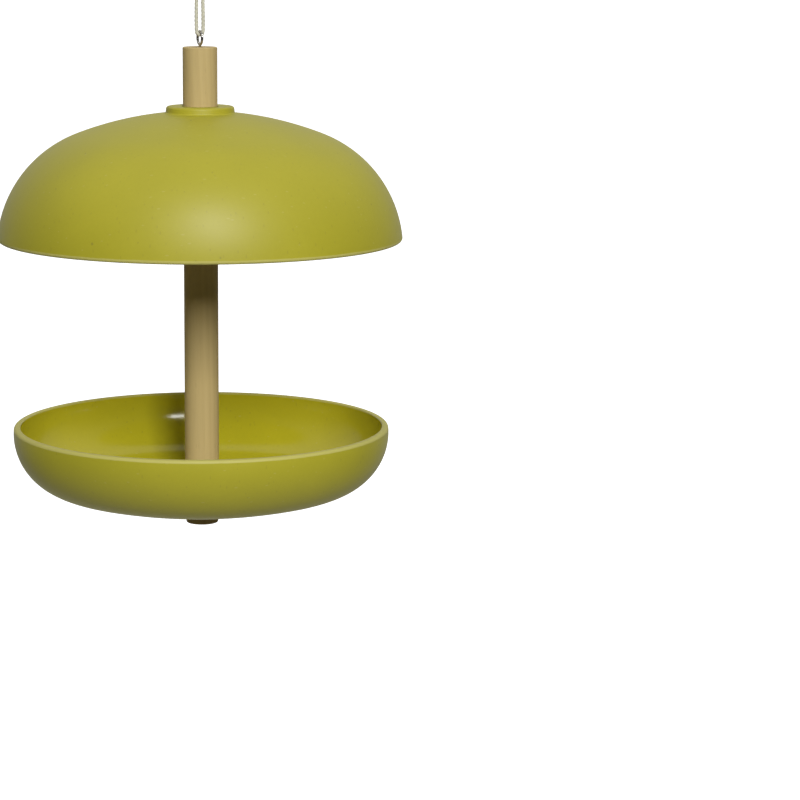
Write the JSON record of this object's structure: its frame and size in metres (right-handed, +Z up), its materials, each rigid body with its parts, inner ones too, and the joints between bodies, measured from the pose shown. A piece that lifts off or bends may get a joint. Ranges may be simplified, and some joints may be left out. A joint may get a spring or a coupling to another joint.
{
  "type": "hanging bird feeder",
  "caption": "Hanging bird feeder: a wooden pole carries a domed roof and a round seed tray, and hangs by a screw eye from a loop of cord.",
  "frame": {"origin": "hanging point of the cord loop, just under its knot, on the pole's axis", "axes": "+Z up along the pole, -Y front, +X right seen from the front"},
  "size_m": [0.2464, 0.2464, 0.3893],
  "materials": {
    "moulded_green": "satin moulded plant-fibre plastic with fine flecks",
    "beech": "bare sanded dowel",
    "foot_wood": "bare sanded turned wood",
    "cotton": "natural twisted cotton cord",
    "zinc_steel": "bright zinc plated",
    "brass_nut": "turned brass",
    "black_rubber": "matt rubber"
  },
  "bodies": {
    "hanger": {"hanging_cord": "cotton", "cord_knot": "cotton"},
    "feeder": {"pole": "beech", "screw_eye": "zinc_steel", "roof_pin": "zinc_steel", "insert_nut": "brass_nut"},
    "bearing": {"roof_washer": "black_rubber"},
    "roof": {"roof": "moulded_green"},
    "tray": {"tray": "moulded_green", "tray_washer": "black_rubber"},
    "foot": {"foot_button": "foot_wood", "foot_stud": "zinc_steel"}
  },
  "joints": [
    {"name": "cord_swing", "type": "hinge", "parent": "hanger", "child": "feeder", "pos_m": [0, 0, -0.07], "axis": [-0.342, 0.9397, 0], "range_deg": [-45, 45]},
    {"name": "roof_spin", "type": "hinge", "parent": "feeder", "child": "bearing", "pos_m": [0, 0, -0.126], "axis": [0, 0, 1], "continuous": true},
    {"name": "roof_lift", "type": "slide", "parent": "bearing", "child": "roof", "axis": [0, 0, 1], "range_m": [0, 0.04]},
    {"name": "tray_drop", "type": "slide", "parent": "feeder", "child": "tray", "axis": [0, 0, -1], "range_m": [0, 0.012]},
    {"name": "foot_turn", "type": "hinge", "parent": "tray", "child": "foot", "pos_m": [0, 0, -0.3655], "axis": [0, 0, -1], "range_deg": [0, 4325]}
  ],
  "couplings": [
    {"joint": "foot_turn", "follows": "tray_drop", "rad_per_m": 6283.2}
  ]
}
